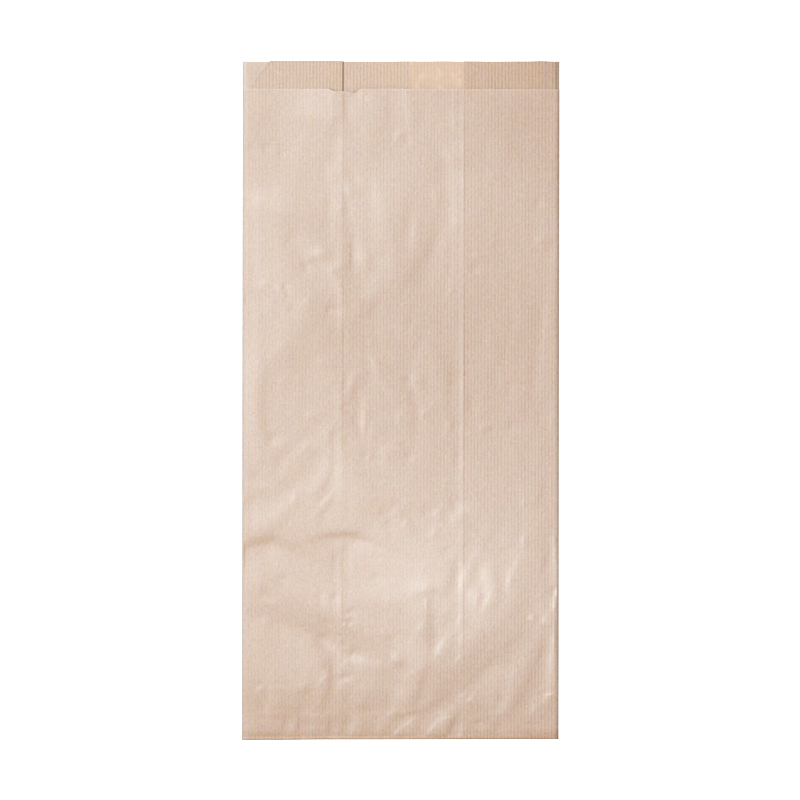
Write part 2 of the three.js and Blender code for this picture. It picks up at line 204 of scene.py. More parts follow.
# The small creases, placed region by region: where the steep flank of one lies, x and y, the way
# its length runs, in degrees up from +X, how long and how wide it is, and how steep, in thousandths,
# down towards the upper left above 0 and towards the lower right below 0, worked out from how light or
# dark the flank looks. Behind it the paper comes back slowly.
CREASES = (
    # Mouth.
    (-33.5, 142.5, 90, 9, 1.6, 25), (-33, 135, 92, 6, 1.8, 25), (-27, 141, 90, 14, 1.3, -45),
    (-22.8, 146, 60, 4, 2, -50), (-34.5, 123.5, 100, 7, 3, -10), (1.8, 142, 95, 12, 1.6, 10),
    (3, 131, 95, 13, 1.6, 20), (4.6, 122, 100, 6, 1.6, 20), (-6.2, 138, 90, 16, 1.6, -30),
    (-17.2, 144, 85, 8, 1, -55), (-2.6, 124.6, 110, 4, 1.4, 55), (24.7, 132, 90, 11, 2.6, 30),
    (24.7, 143, 90, 9, 1.6, 30), (23.5, 113, 125, 12, 3, 45), (17.5, 109, 80, 9, 4, -15),
    (-71.5, 120, 30, 4, 1.6, -35), (-65, 119, 110, 5, 1.8, -25), (-57.6, 117, 90, 6, 1.6, -30),
    (-63, 134, 60, 10, 4, -10),
    # Upper left.
    (-33.5, 107, 103, 7, 1.6, 40), (-26.7, 92, 88, 14, 1.6, -35), (-25, 98.5, 105, 5, 1.6, 35),
    (-12.4, 97, 90, 16, 3, 10), (-35, 93, 90, 7, 1.6, -20), (-32, 80, 93, 10, 2, 15),
    (-18.8, 65.5, 115, 7, 2.2, 30), (-13.7, 67, 105, 8, 2, -20), (-8, 69, 110, 8, 1.3, -10),
    (-5, 64, 112, 8, 1.3, 5), (-13.5, 43, 57, 11, 2.4, -20), (-10, 42, 60, 9, 2, 10),
    (-16.5, 59, 90, 6, 2, -15), (-52.5, 78, 80, 5, 1.6, -40), (-54.4, 74, 80, 4, 1.6, -25),
    (-46, 63, 115, 6, 1.6, -55), (-44.5, 66.5, 115, 5, 2, 55), (-39.4, 68, 115, 6, 2, 45),
    (-33, 61.5, 112, 5, 2.6, 35), (-34.7, 43, 85, 4.5, 2, -65), (-32.6, 43, 85, 4, 2, 10),
    (-47.7, 44.5, 50, 5, 2.4, 10), (-44.9, 47.7, 20, 5, 2, 25), (-57.5, 53.8, 15, 5, 2, 30),
    (-55, 54.8, 20, 3, 1.6, -55), (-52.5, 43.4, 60, 4, 2, -25), (-65.5, 55.6, 40, 4, 2, 45),
    (-57.6, 25, 45, 9, 4, 15), (-73, 49.8, 10, 5, 1.6, -40), (-66, 96, 70, 7, 4, 10), (-37, 20, 40, 5, 2, 15),
    # Upper middle.
    (5.6, 77, 85, 15, 2.4, 15), (14.8, 76, 85, 7, 2, -10), (5, 60, 60, 11, 3, -10), (15.7, 96, 105, 9, 2, 50),
    (25.5, 84, 90, 7, 3, 20), (33.4, 62.4, 100, 4, 2, -35), (22.7, 51.3, 60, 6, 1.3, 30),
    (23.8, 50, 60, 5, 1.3, -20), (65, 75, 115, 6, 2, 60), (63.8, 93.7, 90, 5, 1.6, -45),
    (67, 93.5, 90, 8, 3, 15), (34.6, 69, 80, 4, 1.6, 35), (68.4, 38, 88, 22, 2, 20),
    # Centre.
    (-64, 2, 89, 26, 2.6, -20), (-64, -12, 92, 6, 1.8, -35), (-62.5, -19, 110, 6, 2.2, -55),
    (-46, -22, 80, 5, 2, 30), (-44.5, -7.5, 90, 4, 2, 30), (-41.4, -26, 80, 6, 2, -10),
    (-33.5, -37, 70, 7, 1.6, -15), (-23.5, 9.5, 70, 9, 1.8, 20), (-22, 5, 30, 4, 2, -25),
    (-17.7, -10.5, 91, 12, 1.6, 35), (-16.2, -11, 91, 12, 1.2, -10), (-12.3, 15.5, 118, 9, 2.6, 35),
    (6.1, 9.2, 108, 6, 1.6, 55), (10, -6.3, 108, 4, 1.4, 55), (-1.2, -9, 115, 6, 1.4, 70),
    (2, -12, 118, 5, 1.4, 35), (4.9, 0, 90, 8, 2.4, -20), (1.7, 9, 90, 6, 2, -30), (0.6, -20.6, 80, 6, 2, -15),
    (2.9, -26.5, 100, 4, 1.4, -45), (24.3, 10.5, 85, 11, 1.6, -25), (24.7, -12.3, 86, 7, 1.6, -50),
    (25.7, -27.5, 88, 8, 1.6, -45), (21.5, -13.5, 80, 8, 2, 25), (17.2, -4, 90, 5, 2, -10),
    (32.4, -3, 90, 12, 2, -35), (61.8, 8.5, 82, 14, 1.5, -20), (66, 14, 88, 20, 4, 10),
    (51.6, -12, 90, 5, 2, -50), (38, -14, 112, 4, 1.6, 55), (71, -9.5, 86, 12, 1.4, 25),
    (-13.3, -27, 60, 4, 2, -55), (-18, -27, 115, 5, 1.6, -45), (-8, -26, 112, 7, 2.6, 40),
    (-26.2, -2, 20, 4, 2, -30), (-21.6, -7.1, 20, 3, 2.4, -25), (-26.5, -18.6, 60, 4, 2, -35),
    (-32.3, -16.6, 85, 7, 2, -25), (-57, 9, 90, 5, 1.6, 30), (-14, -14, 90, 8, 2.4, 30),
    (-72, -47, 28, 12, 2, -25), (-48.5, -46.5, 80, 5, 2, -20), (-50.9, -46.5, 80, 5, 1.8, 25),
    (-36.2, -48, 50, 11, 1.8, 35), (-33.4, -49, 50, 7, 1.4, -25), (-36.2, -53.2, 15, 4, 1.4, -45),
    (-52.5, -53, 80, 7, 2, -10), (57.8, -48, 80, 3, 1.4, 55), (-3, -52.5, 60, 4, 2, 40),
    (-5.8, -57, 30, 5, 1.6, -35), (-9.3, -53, 80, 5, 2, -45), (-1.4, -47.3, 40, 4, 1.4, -25),
    (1.7, -53, 70, 4, 2, -20), (11.2, -52, 80, 6, 2, -35), (2, -58, 45, 4, 2, 45),
    (14.8, -62.5, 75, 4.5, 2.4, 35), (17.8, -63.5, 75, 4, 1.8, -25), (17, -52.4, 30, 4, 1.4, 50),
    (24.3, -49.5, 98, 8, 2.4, -65), (24.9, -56.5, 105, 7, 2.4, 50), (23.5, -59.2, 60, 4, 2, 10),
    # Waist.
    (-72, -68.5, 10, 14, 3, -70), (-63, -66, 10, 9, 2.6, -55), (-33.5, -64.6, 8, 10, 1.7, -45),
    (-26.5, -63.4, 5, 9, 1.9, -45), (-20.5, -62.5, 25, 6, 1.7, -5), (-21.3, -65.5, 60, 4, 1.6, -20),
    (-27, -60, 30, 5, 2, 15), (-24.5, -71.3, 42, 7, 1.8, 20), (-27.6, -76.5, 89, 11, 1.2, -30),
    (-31.8, -75, 88, 12, 1.2, -35), (25, -83, 82, 17, 2.6, -20), (30.7, -69.5, 70, 4, 1.8, -10),
    (22, -70, 12, 5, 1.2, -55), (33.8, -74, 60, 7, 1.6, 20), (35, -80.5, 85, 8, 2, -20),
    (39.3, -82, 85, 9, 1.8, 35), (49.5, -69.8, 8, 8, 1.2, -50), (42.5, -65.5, 60, 9, 3, -10),
    (57.7, -66.3, 85, 6, 1.4, 60), (55, -76.5, 80, 4, 1.4, 35), (51, -85.8, 90, 8, 1.6, 50),
    (43, -91, 58, 6, 2, 25), (40, -96.5, 70, 7, 2, 30), (35.3, -94.7, 90, 6, 1.4, 40),
    (30.2, -82, 90, 8, 1.2, 60), (32.6, -92.4, 80, 6, 1.6, 35), (68, -78, 70, 13, 1.6, -70),
    (71.6, -89.4, 40, 4.5, 1.6, -120), (72.4, -66, 88, 5, 1.4, 50), (72.8, -72, 88, 7, 1.8, 65),
    (73.4, -92, 50, 3.5, 2, 70), (73, -97, 80, 5, 2, 120), (11.5, -88, 12, 5, 1.4, 10),
    (10, -91.5, 8, 6, 1.2, -20), (12, -96.7, 90, 5, 1.1, 65), (13.3, -96.7, 93, 5, 1.1, -75),
    (-6.2, -94.4, 60, 4, 2.4, 30), (-12.5, -83, 60, 4, 2, -30), (-31.5, -92.4, 60, 4, 1.6, -50),
    (-32.7, -97, 90, 9, 1.2, -10), (-23.4, -99, 25, 6, 1.6, -50), (-66, -91.5, 50, 5, 2, -15),
    (-59, -98.5, 15, 10, 3, -10), (-56, -83.5, 10, 6, 2, -30), (-38.5, -91.5, 20, 4, 2.4, -30),
    (40, -112, 85, 7, 3, -25),
    # Belly and corner.
    (18.6, -117.2, 64, 11, 2, 10), (27.3, -104.5, 78, 7, 1.6, 40), (28.7, -114.5, 88, 7, 1.4, 65),
    (27, -122.5, 50, 5, 1.6, 50), (32.7, -141.5, 48, 5, 2, 105), (30.2, -139.2, 20, 4, 2, 60),
    (72.2, -115, 86, 20, 1.8, 85), (71.3, -130, 88, 12, 3, 15), (71.3, -138.8, 5, 5, 1.2, 105),
    (68, -142, 70, 4, 1.4, 25), (67.4, -104, 60, 7, 3.4, 55), (61.9, -102.5, 50, 3, 1.8, 115),
    (14, -108.5, 89, 19, 2.6, -40), (8.9, -107.3, 55, 5, 2, 40), (21.5, -104, 70, 7, 2.6, -20),
    (-0.5, -116, 25, 5, 1.2, 10), (-21.8, -122.3, 5, 8, 1.6, 10), (-23.2, -119, 60, 4, 1.6, -70),
    (-26.8, -117, 20, 3, 1.4, 40), (-26.8, -120, 20, 3, 1.4, 5), (-27, -133, 10, 6, 2, 55),
    (-27, -130.4, 5, 6, 1.6, -80), (-17, -136, 10, 8, 2.4, 20), (-33, -129.5, 90, 15, 1.6, -45),
    (-36.5, -142, 58, 12, 2.2, -10), (-35.4, -124.5, 50, 6, 3.4, -25), (-36.6, -131.6, 50, 7, 2, 45),
    (-31.3, -117, 60, 5, 1.4, 10), (-37.3, -111.5, 18, 7, 2.4, -60), (-37, -105, 40, 8, 4, -15),
    (-43.5, -113.4, 8, 8, 2, 10), (-66.3, -136.4, 30, 3.5, 1.6, 65), (-64.3, -104.7, 90, 5, 2, 30),
    (-62, -144, 85, 9, 3, 25), (-45.3, -138, 12, 8, 2.4, -30), (-46.5, -134.3, 12, 7, 2.4, 25),
    (-5, -126.8, 12, 8, 2.6, -25), (-4.5, -112, 30, 8, 2.4, -40), (9.5, -137, 75, 15, 1.6, -60),
    (5.6, -128.6, 30, 5, 1.8, 25), (-2.2, -141.5, 89, 13, 3, 10), (4.5, -148.3, 5, 10, 1.6, -80),
    (15, -144.5, 32, 12, 2.6, -40), (-4.3, -147.9, 25, 5, 1.5, 50), (52.5, -129, 83, 20, 2.8, 20),
    (48, -145.6, 52, 8, 2, 30), (53, -113.8, 38, 13, 2.6, -50), (42.5, -123.5, 60, 5, 2.6, -50),
    (35, -128, 28, 12, 3, -20), (45.5, -130, 35, 14, 5, 15), (66, -120, 72, 8, 1.8, -75),
    (62, -130, 68, 13, 2.2, -40), (57, -141, 55, 10, 2.6, -30), (63, -144.5, 85, 9, 2, 45),
    (24.5, -122, 60, 5, 2, -10), (58.3, -105, 75, 7, 2, -40),
    # Crinkles beside the left fold.
    (-26.4, -106, 30, 2, 1.2, 90), (-24, -106.8, 20, 3, 1.2, 45), (-24.5, -102.3, 10, 3.5, 1.3, 40),
    (-24.5, -103.8, 10, 3.5, 1.3, -80), (-28.4, -112.7, 20, 2, 1.2, 40), (-28.4, -110.9, 20, 2, 1.2, -40),
    (-24.8, -117, 20, 2, 1.2, 30), (-22, -121.2, 30, 2.6, 1.2, 35), (-25.4, -123, 25, 2.2, 1.2, 50),
    (-19, -123.4, 40, 2.2, 1.2, 20), (-15.3, -120.6, 90, 2.4, 1, 30), (-27.2, -125.1, 30, 1.8, 1.2, 40),
    (-3.9, -122, 110, 4, 1.4, 60), (-2.4, -124.6, 118, 5, 1.3, 160),
    # Edge of the flap.
    (-57, -150.2, 1, 9, 1.6, -10), (-41.5, -149, 0, 15, 1.6, 50), (-17, -149.2, 2, 12, 2, 30),
    # Foot.
    (4.3, -152.3, 40, 7.5, 1.6, 55), (-1.4, -157, 57, 7, 1.5, 65), (15.2, -155, 55, 8.5, 2.2, 65),
    (22, -147.3, 28, 10, 4, 25), (22, -150.2, 5, 5, 1.6, 95), (24.4, -154.3, 65, 11, 2.4, -115),
    (37, -151.8, 12, 4, 1.5, -75), (29, -155, 89, 10, 1, 70), (-55, -153, 86, 8, 1.6, -70),
    (-48, -153.8, 88, 8, 1.8, -70), (-52, -154.5, 88, 8, 2.6, 15), (-42, -154.5, 86, 8, 2.6, 10),
    (-33.4, -154.5, 86, 8, 2, -65), (-27, -154.5, 80, 9, 2, -45), (-22.4, -155, 80, 10, 2.2, 40),
    (-10, -154, 86, 7, 2, 55), (-13.5, -150.5, 12, 13, 1.2, 10), (-70, -153, 80, 7, 2, 15),
    (-3, -151.5, 60, 6, 2, -35), (8.5, -155.5, 55, 8, 2.4, -20), (33, -156, 80, 7, 2, -15),
    (46, -154, 70, 8, 2.4, -40), (55, -155, 80, 8, 2.4, -15), (62, -154, 80, 8, 2.2, -20),
)
# Broad, faint differences of tone of the glazed face, in millimetres and degrees: an oval around x, y,
# along long and across wide, its long way turned up from +X, that much paler or darker. Those from
# "upper left pale" to "low left pale" come from the same fit as the swells; they are painted sheen and
# painted shade, the broad light and dark of the glaze that the relief doesn't give.
Tone = namedtuple("Tone", "name x y turn along across shade")
TONES = rows_of(
    Tone,
    ("slanting corner", -69, 154, 0, 8, 9, -0.035),
    ("upper left pale", -46, 80, 79, 33, 39, 0.006),
    ("upper right dark", 60, 133, 135, 86, 38, -0.055),
    ("right side dark", 54, 15, 177, 110, 18, 0.005),
    ("middle dark", 36, 27, -2, 120, 65, -0.039),
    ("left pale", -73, 18, 31, 16, 16, 0.015),
    ("belly pale", 22, -79, 54, 58, 72, 0.046),
    ("belly top pale", 54, -99, 42, 51, 21, 0.042),
    ("corner dark", 32, -154, 52, 16, 16, -0.024),
    ("foot dark left", -51, -158, -15, 97, 34, -0.060),
    ("foot dark middle", 62, -157, 13, 54, 18, -0.055),
    ("low left pale", -49, -87, -47, 33, 31, -0.012),
    ("scuff at the dent", -29.5, 145.8, -5, 2.2, 0.6, -0.09),
    ("line below the dent", -26.9, 142.5, 90, 4.5, 0.5, -0.05),
    ("speck at the dent", -22.5, 145.6, 20, 1.4, 0.6, -0.07),
    # Painted shade along the bottom fold, and painted highlights on it.
    ("dark above the worn fold", -64, -158.3, 0, 15, 2.2, -0.028),
    ("dark corner", 68, -158.5, 10, 14, 4.5, -0.035),
    ("worn spot left", -53.5, -160.2, 0, 2.6, 0.6, 0.06),
    ("worn spot", -45, -160.2, 0, 3.2, 0.7, 0.06),
    ("worn spot at the fold", -29.5, -160.2, 0, 2.2, 0.6, 0.06),
)
# The ribs of the glazed face grow clearer by this much per metre to the right, and clearer or fainter
# over these ovals. Where they are clearer the paper is darker by RIB_SHADE. Their fading to the left and
# on the belly, where the glaze shines most, is painted glare that washes them out.
RIBS_TO_THE_RIGHT = 6.3
RIB_SHADE = 0.026
RIB_TONES = rows_of(
    Tone,
    ("faint ribs low left", -20, -70, 90, 70, 60, -0.65),
    ("clear ribs in the middle", 5, 35, 90, 65, 42, 0.42),
    ("faint ribs on the belly", 35, -85, 90, 35, 35, -0.3),
)
# The same on the inner face that shows at the mouth, and golden stains there.
INSIDE_TONES = rows_of(
    Tone,
    ("shadow at the slanting cut", -66.2, 154.6, 50.6, 9, 0.5, -0.06),
    ("light scratch", -57.9, 154.9, -30, 3.0, 0.45, 0.09),
    ("shadow in the dent", -32.0, 146.6, -22, 3.0, 0.7, -0.16),
    ("dark fold end", -31.0, 153.0, 90, 12, 5, -0.012),
    ("pink smear", -24.2, 149.9, 0, 2.2, 2.6, 0.03),
    ("brown speck", -21.5, 145.9, 0, 2.0, 0.6, -0.10),
)
INSIDE_STAINS = rows_of(
    Tone,
    ("stain at the seam", -6, 153, 90, 12, 9, 0.014),
    ("stain at the fold", -31, 152, 90, 12, 5, 0.014),
)
FOOT_SLOPE = 24.2  # the panel comes down to the bottom fold within this length
EDGE_START, EDGE_RUN = 0.6, 8.0  # the swells fade out beside a side fold
CREASE_SIDE, CREASE_SIDE_RUN = 0.3, 1.5  # and the creases there
CREASE_FOOT, CREASE_FOOT_RUN = 0.5, 2.0  # and at the bottom fold
EDGE_ROLL, EDGE_ROLL_RUN = 0.06, 3.4  # the panel rolls down into its side folds
SAG_RUN = 3.2  # it comes down from a gusset within this width
# The bottom fold doesn't run square: so far it lies above its lowest corner, from the left to the right.
BOTTOM_SKEW = ((-75, 0.08), (-57, 0.15), (-38, 0.38), (75, 0.68))
BOTTOM_SKEW_RUN = 12.0
INNER_FOOT = 1.5  # the layers inside start this far above the lowest corner
PRESSED_END = 30.0  # and have close rows up to this far above it
RIGHT_LIFT, RIGHT_LIFT_AT, RIGHT_LIFT_RUN = 1.03, -105, 40  # the right side fold stands up beside the belly
RIGHT_LIFT_START = 15  # from this far right of the middle
FLAP_LINE, FLAP_LINE_WIDTH = 0.015, 1.4  # the flap under the bottom end shows through as a low ridge
CREPE = ((0.030, 11.0, 24.0, 2.7), (0.014, 4.2, 9.0, 8.3))  # height, length across and along, seed


# ---- Settings ----
def length_property(name, description, size, precision=4):
    """A length, its default given in millimetres."""
    return FloatProperty(
        name=name, description=description, default=size * MM, unit="LENGTH", precision=precision
    )


def colour_property(name, description, default):
    return FloatVectorProperty(
        name=name, description=description, default=default, size=3, min=0.0, max=1.0, subtype="COLOR"
    )


class BagSizes(bpy.types.PropertyGroup):
    """Sizes of the bag."""

    lip: length_property("Lip", "How far the back stands beyond the front panel's edge", 13.6)
    flap: length_property("Flap", "How far the front panel is folded under the back at the bottom", 12.7)
    gusset_left: length_property("Left gusset", "From the left side fold to its inner fold", 47.5)
    gusset_right: length_property("Right gusset", "From the right side fold to its inner fold", 45.4)
    seam_inner: length_property("Seam's upper edge", "End of the seam's upper paper, from the middle", 2.1)
    seam_outer: length_property("Seam's lower edge", "End of the seam's lower paper, from the middle", 27.1)
    paper: length_property("Paper", "Thickness of the paper", 0.12, 5)
    pillow: length_property("Pillow", "How far the air inside lifts the front panel's middle", 0.46)
    sag: length_property("Sag", "How far the front panel drops between the two gussets", 0.03)
    relief: FloatProperty(
        name="Relief", description="How strong the swells and creases of the front panel are",
        default=1.0, min=0.0, max=1.2, subtype="FACTOR",
    )


class PaperLooks(bpy.types.PropertyGroup):
    """Colours and grain of the kraft paper."""

    outside: colour_property("Outside", "Glazed outer face between its ribs", (0.615, 0.369, 0.254))
    outside_rib: colour_property("Outside ribs", "Thin brown ribs of the outer face", (0.510, 0.279, 0.181))
    inside: colour_property("Inside", "Rough inner face between its ribs", (0.711, 0.475, 0.365))
    inside_rib: colour_property("Inside ribs", "Thin brown ribs of the inner face", (0.580, 0.352, 0.238))
    edge: colour_property("Cut edge", "Bare fibres of a cut edge", (0.80, 0.68, 0.56))
    glue: colour_property("Glue", "Dried glue along the back seam", (0.792, 0.484, 0.316))
    rib_pitch: length_property("Rib pitch", "Distance between two ribs of the paper", 1.595, 5)


class StageLooks(bpy.types.PropertyGroup):
    """Floor, light and camera."""

    floor: colour_property("Floor", "Plain pale floor", (0.90, 0.90, 0.90))
    floor_glow: FloatProperty(
        name="Floor glow", description="Light from the table's lit top", default=0.62, min=0.0, max=2.0
    )
    lamp: FloatProperty(
        name="Lamp", description="Power of the soft lamp at the upper left", default=900, unit="POWER"
    )
    fill: FloatProperty(
        name="Fill", description="Strength of the even light from all round", default=0.40, min=0.0
    )
    height: FloatProperty(
        name="Camera height", description="Camera above the surface", default=9.0, unit="LENGTH"
    )


SETTINGS = {"bag_sizes": BagSizes, "paper_looks": PaperLooks, "stage_looks": StageLooks}


# ---- Shape ----
def smooth(t):
    """0 below 0, 1 above 1, and a soft rise between."""
    s = np.clip(t, 0, 1)
    return s * s * (3 - 2 * s)


def lines(*spans):
    """Positions from the first span's start to the last one's end; a span is (start, end, pitch)."""
    marks = [np.array([spans[0][0]])]
    for start, end, pitch in spans:
        count = max(1, math.ceil(abs(end - start) / pitch - 1e-9))
        marks.append(np.linspace(start, end, count + 1)[1:])
    return np.concatenate(marks)


def inner_folds(sizes):
    """Where the left and the right gusset's inner folds lie."""
    return sizes.gusset_left / MM - HALF_WIDTH, HALF_WIDTH - sizes.gusset_right / MM


def flap_end(sizes):
    """How far up the flap under the bottom end reaches."""
    return FOOT + sizes.flap / MM


def swell_height(x, y, one):
    """How high a swell stands at x, y."""
    turn = math.radians(one.turn)
    along = (x - one.x) * math.cos(turn) + (y - one.y) * math.sin(turn)
    aside = (y - one.y) * math.cos(turn) - (x - one.x) * math.sin(turn) - one.bend * along**2
    reach = np.where(aside > 0, one.upper, one.lower)
    return one.height * np.exp(-2 * ((along / one.along) ** 2 + (aside / reach) ** 2))


STEEPEST = 1.21  # the greatest slope of a swell that is as high as its reach


def crease_height(x, y, place_x, place_y, turn, length, width, tilt):
    """A small crease is a narrow swell whose steep side is where the crease is seen."""
    steep = 1.1 * width
    way = math.radians(turn)
    top_x, top_y = place_x + math.sin(way) * steep / 2, place_y - math.cos(way) * steep / 2
    height = tilt / 1000 * steep / STEEPEST
    swell = Swell("crease", top_x, top_y, turn, 0.75 * length, steep, 4 * width, height)
    return swell_height(x, y, swell)


def crepe(x, y):
    """Low, uneven waves of paper that has been handled."""
    rise = np.zeros_like(x)
    for height, across, along, seed in CREPE:
        rise += height * np.array(
            [noise.noise(Vector((a / across, b / along, seed))) for a, b in zip(x, y)]
        )
    return rise


def settled(y, z, flap_edge):
    """The layers lie on the flap at the bottom, pressed together, and on the surface beyond it."""
    near = 1 - smooth((y - flap_edge) / PRESS_RUN)
    return PRESS_RISE * near + z * (1 - (1 - PRESS) * near)


def side_lift(x, y):
    """How far the belly pushes the right side of the front panel up."""
    near = RIGHT_LIFT * np.exp(-2 * ((y - RIGHT_LIFT_AT) / RIGHT_LIFT_RUN) ** 2)
    across = smooth((x - RIGHT_LIFT_START) / (HALF_WIDTH - RIGHT_LIFT_START))
    return near * smooth((y - FOOT) / FOOT_SLOPE) * across


def front_height(x, y, sizes):
    """How high the middle of the front panel's paper lies."""
    left, right = inner_folds(sizes)
    from_side = HALF_WIDTH - np.abs(x)
    edge = smooth((from_side - EDGE_START) / EDGE_RUN)
    foot = smooth((y - FOOT) / FOOT_SLOPE)
    between = np.minimum(smooth((x - left) / SAG_RUN), smooth((right - x) / SAG_RUN))
    low = -sizes.sag / MM * between
    low = low + FLAP_LINE * np.exp(-2 * ((y - flap_end(sizes)) / FLAP_LINE_WIDTH) ** 2)
    air = sizes.pillow / MM * (1 - (x / HALF_WIDTH) ** 2)
    swells = sum(swell_height(x, y, one) for one in SWELLS) * sizes.relief
    roll = -EDGE_ROLL * (1 - smooth(from_side / EDGE_ROLL_RUN))
    creases = sum(crease_height(x, y, *row) for row in CREASES) * sizes.relief
    creases = creases * smooth((from_side - CREASE_SIDE) / CREASE_SIDE_RUN)
    creases = creases * smooth((y - FOOT - CREASE_FOOT) / CREASE_FOOT_RUN)
    rise = edge * (low + crepe(x, y) + foot * (air + swells)) + creases + roll + side_lift(x, y)
    return settled(y, FRONT, flap_end(sizes)) + rise


def formula_normals(place, column, row):
    """The normals of the surface that place describes."""
    step = 0.1
    ways = []
    for side, up in ((step, 0), (0, step)):
        after = np.column_stack(place(column + side, row + up)[:3])
        before = np.column_stack(place(column - side, row - up)[:3])
        ways.append(after - before)
    normals = np.cross(*ways)
    return normals / np.linalg.norm(normals, axis=1)[:, None]


def lay_normals(mesh, normals):
    """Gives both faces of a sheet the formula's normals, so that narrow creases stay crisp."""
    corners = np.empty(len(mesh.loops), dtype=np.int64)
    mesh.loops.foreach_get("vertex_index", corners)
    faces, count = np.empty((2, len(mesh.polygons)), dtype=np.int64)
    mesh.polygons.foreach_get("material_index", faces)
    mesh.polygons.foreach_get("loop_total", count)
    side = np.repeat(np.array([1, -1, 0])[faces], count)  # 0 leaves a corner of the cut edge as it is
    mesh.normals_split_custom_set(normals[corners % len(normals)] * side[:, None])


def paper_sheet(name, columns, rows, place, finishes, sizes, crisp=False):
    """A sheet of paper: a grid whose vertices go where place says, given its thickness.

    place(column, row) gives x, y, z and the distance across the paper, all in millimetres.
    finishes are those of the face the grid's normals point to, of the other face and of the edge.
    """
    bpy.ops.object.select_all(action="DESELECT")
    across, down = len(columns) - 1, len(rows) - 1
    bpy.ops.mesh.primitive_grid_add(
        x_subdivisions=across, y_subdivisions=down, size=1, calc_uvs=False, location=(0, 0, 0)
    )
    piece = bpy.context.object
    piece.name = piece.data.name = name
    mesh = piece.data
    if len(mesh.vertices) != (across + 1) * (down + 1):
        raise RuntimeError(f"{name}: the grid has {len(mesh.vertices)} vertices")
    at = np.empty(len(mesh.vertices) * 3)
    mesh.vertices.foreach_get("co", at)
    at = at.reshape(-1, 3)
    column = np.asarray(columns)[np.rint((at[:, 0] + 0.5) * across).astype(int)]
    row = np.asarray(rows)[np.rint((at[:, 1] + 0.5) * down).astype(int)]
    x, y, z, over = place(column, row)
    mesh.vertices.foreach_set("co", (np.column_stack([x, y, z]) * MM).ravel())
    corners = np.empty(len(mesh.loops), dtype=np.int64)
    mesh.loops.foreach_get("vertex_index", corners)
    layer = mesh.uv_layers.new(name="paper")
    layer.data.foreach_set("uv", (np.column_stack([over, row])[corners] * MM).ravel())
    mesh.update()
    for finish in finishes:
        mesh.materials.append(finish)
    bpy.ops.object.modifier_add(type="SOLIDIFY")
    wall = piece.modifiers[-1]
    wall.thickness = sizes.paper
    wall.offset = 0
    wall.use_even_offset = True
    wall.material_offset = 1
    wall.material_offset_rim = 2
    bpy.ops.object.modifier_apply(modifier=wall.name)
    bpy.ops.object.shade_smooth_by_angle(angle=math.radians(50))
    if crisp:
        lay_normals(mesh, formula_normals(place, column, row))
    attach(piece, "root")
    return piece


def make_front_panel(sizes, looks):
    """The front panel, its two side folds, and its end turned under at the bottom."""
    t = sizes.paper / MM
    flap_edge = flap_end(sizes)
    top = HEAD - sizes.lip / MM
    left, right = inner_folds(sizes)
    # The vertices lie closest where the inner folds show through, and closer where the creases are.
    columns = lines(
        (-FRONT_FLAT - CURL, -FRONT_FLAT, CURL / 5),
        (-FRONT_FLAT, -FRONT_FLAT + 2, RIM_PITCH),
        (-FRONT_FLAT + 2, left - 7, PITCH),
        (left - 7, left - 2.6, 0.6),
        (left - 2.6, left + 1.4, FOLD_PITCH),
        (left + 1.4, left + 9, 0.5),
        (left + 9, right - 2.6, PITCH),
        (right - 2.6, right + 1.2, FOLD_PITCH),
        (right + 1.2, FRONT_FLAT - 2, PITCH),
        (FRONT_FLAT - 2, FRONT_FLAT, RIM_PITCH),
        (FRONT_FLAT, FRONT_FLAT + CURL, CURL / 5),
    )
    # Rows count up from the flap's end, round the bottom fold, to the mouth.
    under = sizes.flap / MM - FOOT_RADIUS
    around = math.pi * FOOT_RADIUS
    line = FOOT + FOOT_RADIUS
    start = line - around - under
    rows = lines(
        (start, start + under, 2.5),
        (start + under, line, around / 8),
        (line, FOOT + 4, RIM_PITCH),
        (FOOT + 4, -40, PITCH),
        (-40, top - 6, UPPER_PITCH),
        (top - 6, top, RIM_PITCH),
    )

    def place(column, row):
        y = np.maximum(row, line)
        gusset = settled(y, GUSSET_FRONT, flap_edge) - LAP
        side = settled(y, FRONT, flap_edge) - EDGE_ROLL + side_lift(np.sign(column) * HALF_WIDTH, y)
        radius = (side - gusset) / 2
        flat = HALF_WIDTH - t / 2 - radius
        x = np.clip(column, -FRONT_FLAT, FRONT_FLAT) / FRONT_FLAT * flat
        bottom = np.clip((line - row) / around, 0, 1) * math.pi
        curl = np.clip((np.abs(column) - FRONT_FLAT) / CURL, 0, 1) * math.pi
        opened = smooth(bottom / CORNER_TURN)
        curled = curl * (1 - opened)
        spread = curl / math.pi * opened * (HALF_WIDTH - t / 2 - flat)
        y = y - np.interp(x, *zip(*DENT)) * smooth((y - top + DENT_RUN) / DENT_RUN)
        z = front_height(x, y, sizes)
        over = x + np.sign(column) * curl * radius
        x = x + np.sign(column) * (np.sin(curled) * radius + spread)
        z = z - (1 - np.cos(curled)) * radius
        # The turn round the bottom fold, and the flap beyond it.
        half = (z - t / 2) / 2
        near = 1 - smooth((row - line) / FOOT_RUN)
        y = y + near * (half + t / 2 - FOOT_RADIUS)
        y = np.where(row < line, y - half * np.sin(bottom), y)
        z = np.where(row < line, t / 2 + half + half * np.cos(bottom), z)
        beyond = np.clip(line - around - row, 0, None)
        skew = np.interp(x, *zip(*BOTTOM_SKEW)) * (1 - smooth((row - line) / BOTTOM_SKEW_RUN))
        y = y + beyond + skew
        return x, y, z, over

    piece = paper_sheet("front_panel", columns, rows, place, looks, sizes, crisp=True)
    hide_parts("paper_bag")


